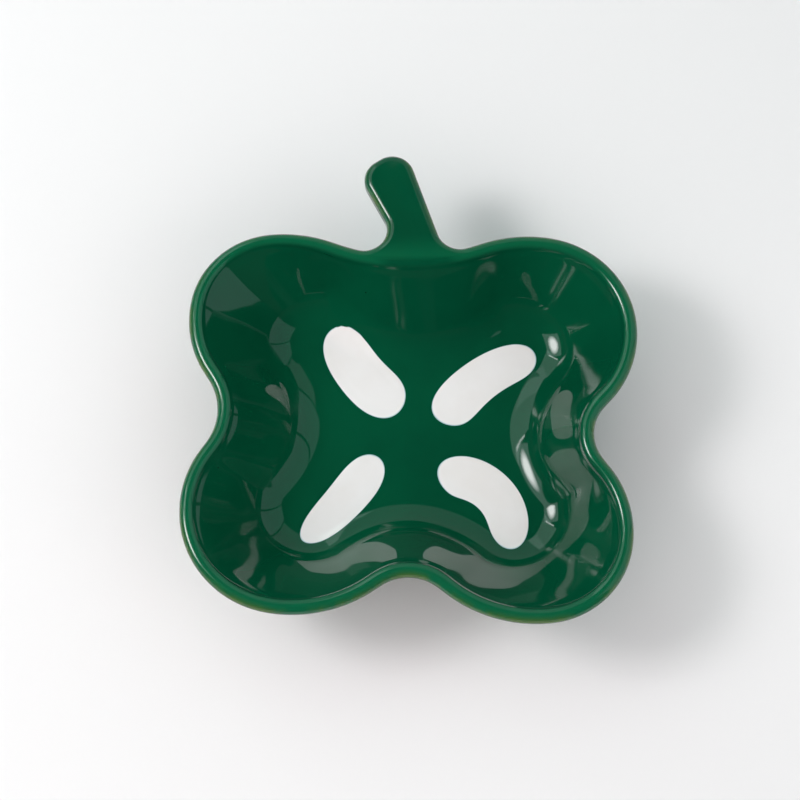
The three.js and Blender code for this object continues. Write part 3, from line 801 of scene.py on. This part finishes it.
class DISH_OT_seed_marks(bpy.types.Operator):
    """Build the four white seed marks on the floor"""
    bl_idname = "dish.seed_marks"
    bl_label = "Seed Marks"

    STATIONS = 160
    RINGS = 22
    SUNK = 0.2 * MM
    # Shares of the seed height: a mark's edge, its face and the swell in its middle. The face falls to the
    # edge by a power of the ring, and the swell fades between two rings.
    EDGE_SHARE = 0.12
    FACE_SHARE = 0.3
    SWELL_SHARE = 0.25
    EDGE_POWER = 16
    SWELL_RINGS = (0.5, 0.72)

    def execute(self, context):
        sizes = context.scene.dish_sizes
        finish = white_glaze_finish(context.scene.dish_colours)
        sections = DishSections(sizes)
        rings = np.sin(np.linspace(0, RIGHT_ANGLE, self.RINGS + 1))
        swell = smoothstep(-rings, -self.SWELL_RINGS[1], -self.SWELL_RINGS[0])
        crown = (1 - rings**self.EDGE_POWER) * (self.FACE_SHARE + self.SWELL_SHARE * swell)
        rise = sizes.seed_proud * (self.EDGE_SHARE + crown)
        offset = np.append(rise, np.full(len(rings), -self.SUNK))
        rings = np.append(rings, rings[::-1])
        for name, mark in SEEDS.items():
            plan = seed_rings(mark, rings, self.STATIONS)
            surface = sections.height_at(plan.reshape(-1, 2)).reshape(plan.shape[:2])
            points = np.dstack([plan, surface + offset])
            index = lattice_index(*surface.shape)
            index[:, 0] = index[0, 0]
            index[:, -1] = index[0, -1]
            shape = in_part_frame(points.reshape(-1, 3))
            piece, used = make_piece(f"{name}_mark", shape, lattice_faces(index), finish)
            outward = np.broadcast_to(rings, surface.shape)
            add_attribute(piece, "outward", outward.ravel()[used])
            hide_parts(name)
        return {"FINISHED"}


class DISH_OT_studio(bpy.types.Operator):
    """Set the pale floor, the soft lamps, the surroundings and the camera"""
    bl_idname = "dish.studio"
    bl_label = "Studio"

    # Photograph's view: azimuth and elevation in degrees, as for the lamps, focal length and frame in pixels,
    # distance, and the pixel that the sketch's origin at rim height falls on
    VIEW_DIRECTION = (-88, 70)
    FOCAL_PIXELS = 2600
    FRAME_PIXELS = 800
    DISTANCE = 0.7429
    ORIGIN_PIXEL = (409, 418)
    ORIGIN_HEIGHT = 0.03025
    SENSOR = 36.0
    CLIP_START = 0.01

    TABLE_HALF = 3.0
    # Room: heights of a direction that its light fades between, and its strength at each
    ROOM_HEIGHTS = (0.1, 0.6)
    ROOM_STRENGTHS = (0.06, 0.015)

    # Key: azimuth and elevation, panel, and the nested ovals that brighten it towards its middle
    KEY_DIRECTION = (179, 44)
    KEY_DISTANCE = 1.06
    KEY_PANEL = (0.62, 0.62)
    KEY_RADIANCE = 1.35
    KEY_TINT = (0.86, 1.0, 1.0)
    GLOW_STEPS = 8
    GLOW_SIZE = (0.50, 0.42)
    GLOW_TAPER = 0.6
    GLOW_GAP = 0.01
    GLOW_RADIANCE = 1.45
    GLOW_TINT = (1.0, 0.98, 0.98)
    # Beside the key: azimuth and elevation, width and height, radiance, tint
    SIDE = (
        ("side_panel", 134, 44, (0.62, 0.72), 1.1, (0.78, 1.0, 0.92)),
        ("side_bar", 154, 44, (0.03, 0.40), 6.0, (1.0, 1.0, 1.0)),
    )
    # Window panes: azimuth of the middle, half of the angle across, radiance, tint
    PANES = (
        ("window_right", -5.2, 21.2, 0.60, (0.72, 1.0, 1.0)),
        ("window_left", 34.7, 16.2, 0.60, (0.72, 1.0, 1.0)),
        ("window_back", 89.0, 36.0, 0.50, (0.78, 1.0, 0.97)),
    )
    PANE_DISTANCE = 1.04
    PANE_TOP = 1.95
    # Fills: azimuth, elevation, distance, width and height, radiance, tint
    FILLS = (
        ("front_fill", 244, 38, 1.4, (1.7, 1.0), 1.25, (1.0, 0.95, 0.95)),
        ("right_fill", 310, 34, 1.4, (1.5, 0.9), 1.75, (1.0, 0.97, 0.97)),
        ("top_fill", 270, 86, 1.6, (1.8, 1.8), 0.52, (1.0, 0.90, 0.91)),
    )

    def execute(self, context):
        scene = context.scene
        scene.view_settings.view_transform = "Standard"
        self.add_floor(scene)
        self.add_lamps(scene)
        self.add_surroundings(scene)
        self.add_camera(scene)
        return {"FINISHED"}

    def add_floor(self, scene):
        half = self.TABLE_HALF
        mesh = bpy.data.meshes.new("table")
        corners = [(-half, -half, 0), (half, -half, 0), (half, half, 0), (-half, half, 0)]
        mesh.from_pydata(corners, [], [(0, 1, 2, 3)])
        finish = Finish(bpy.data.materials.new("table"))
        finish.shade(Base_Color=opaque(scene.dish_colours.table), Roughness=0.8, Specular_IOR_Level=0.1)
        mesh.materials.append(finish.owner)
        table = bpy.data.objects.new("table", mesh)
        scene.collection.objects.link(table)

    def add_lamp(self, scene, name, place, facing, size, radiance, tint):
        """A flat lamp that faces back along a direction. Its power is radiance times width, height and pi."""
        data = bpy.data.lights.new(name, "AREA")
        data.shape = "RECTANGLE"
        data.size, data.size_y = size
        data.energy = radiance * size[0] * size[1] * math.pi
        data.color = tint
        lamp = bpy.data.objects.new(name, data)
        scene.collection.objects.link(lamp)
        lamp.location = place
        lamp.rotation_euler = facing.to_track_quat("Z", "Y").to_euler()
        return lamp

    def add_lamps(self, scene):
        """A key panel on the left that brightens to its middle, a plain panel and a bar beside it, upright
        window panes from the right round to the back, and broad fills that give light without a mirror image
        in the glaze."""
        key = self.direction(*self.KEY_DIRECTION)
        place = key * self.KEY_DISTANCE
        self.add_lamp(scene, "key_panel", place, key, self.KEY_PANEL, self.KEY_RADIANCE, self.KEY_TINT)
        for step in range(self.GLOW_STEPS):
            share = 1 - self.GLOW_TAPER * step / self.GLOW_STEPS
            size = [share * side for side in self.GLOW_SIZE]
            place = key * (self.KEY_DISTANCE - self.GLOW_GAP * (step + 1))
            glow = self.add_lamp(
                scene, f"key_glow_{step + 1}", place, key, size, self.GLOW_RADIANCE, self.GLOW_TINT)
            glow.data.shape = "ELLIPSE"
        for name, azimuth, elevation, size, radiance, tint in self.SIDE:
            out = self.direction(azimuth, elevation)
            self.add_lamp(scene, name, out * self.KEY_DISTANCE, out, size, radiance, tint)
        for name, azimuth, half_width, radiance, tint in self.PANES:
            out = self.direction(azimuth, 0)
            middle = out * self.PANE_DISTANCE + Vector((0, 0, self.PANE_TOP / 2))
            width = 2 * self.PANE_DISTANCE * math.tan(math.radians(half_width))
            self.add_lamp(scene, name, middle, out, (width, self.PANE_TOP), radiance, tint)
        for name, azimuth, elevation, distance, size, radiance, tint in self.FILLS:
            out = self.direction(azimuth, elevation)
            fill = self.add_lamp(scene, name, out * distance, out, size, radiance, tint)
            fill.visible_glossy = False

    @staticmethod
    def direction(azimuth, elevation):
        """Unit vector at an azimuth counter-clockwise from +X and an elevation, in degrees."""
        level = math.cos(math.radians(elevation))
        across = heading(math.radians(azimuth)) * level
        return Vector((across[0], across[1], math.sin(math.radians(elevation))))

    def add_surroundings(self, scene):
        """A dim room, a little lighter at the horizon than overhead."""
        scene.world = bpy.data.worlds.new("room")
        room = Finish(scene.world, "Background", "Generated")
        height = room.add("ShaderNodeSeparateXYZ", {0: room.place}).outputs["Z"]
        strength = room.ranged(height, *self.ROOM_HEIGHTS, *self.ROOM_STRENGTHS)
        room.shade(Color=opaque((1, 1, 1)), Strength=strength)

    def add_camera(self, scene):
        """A camera on the line through the origin's pixel, at the photograph's angle and distance."""
        back = self.direction(*self.VIEW_DIRECTION)
        right = Vector((0, 0, 1)).cross(back).normalized()
        up = back.cross(right)
        middle = self.FRAME_PIXELS / 2
        ray = (right * ((self.ORIGIN_PIXEL[0] - middle) / self.FOCAL_PIXELS)
               - up * ((self.ORIGIN_PIXEL[1] - middle) / self.FOCAL_PIXELS) - back)
        origin = Vector((-SKETCH_MIDDLE[0], -SKETCH_MIDDLE[1], self.ORIGIN_HEIGHT))
        data = bpy.data.cameras.new("camera")
        data.sensor_width = self.SENSOR
        data.lens = self.FOCAL_PIXELS / self.FRAME_PIXELS * self.SENSOR
        data.clip_start = self.CLIP_START
        camera = bpy.data.objects.new("camera", data)
        turned = Matrix((right, up, back)).transposed().to_4x4()
        camera.matrix_world = Matrix.Translation(origin - ray * self.DISTANCE) @ turned
        scene.collection.objects.link(camera)
        scene.camera = camera


class DISH_PT_panel(bpy.types.Panel):
    """Sizes, colours and build steps of the dish"""
    bl_idname = "DISH_PT_panel"
    bl_label = "Dipping Dish"
    bl_space_type = "VIEW_3D"
    bl_region_type = "UI"
    bl_category = "Dish"

    def draw(self, context):
        for group in (context.scene.dish_sizes, context.scene.dish_colours):
            box = self.layout.box()
            for key in group.__annotations__:
                box.prop(group, key)
        for operator in OPERATORS:
            self.layout.operator(operator.bl_idname)


OPERATORS = (DISH_OT_glaze_coat, DISH_OT_clay_body, DISH_OT_seed_marks, DISH_OT_studio)
CLASSES = (DishSizes, DishColours, *OPERATORS, DISH_PT_panel)


def register():
    for cls in CLASSES:
        bpy.utils.register_class(cls)
    bpy.types.Scene.dish_sizes = bpy.props.PointerProperty(type=DishSizes)
    bpy.types.Scene.dish_colours = bpy.props.PointerProperty(type=DishColours)


def unregister():
    del bpy.types.Scene.dish_colours
    del bpy.types.Scene.dish_sizes
    for cls in reversed(CLASSES):
        bpy.utils.unregister_class(cls)


def main():
    register()
    bpy.ops.dish.glaze_coat()
    bpy.ops.dish.clay_body()
    bpy.ops.dish.seed_marks()
    bpy.ops.dish.studio()


if __name__ == "__main__":
    main()
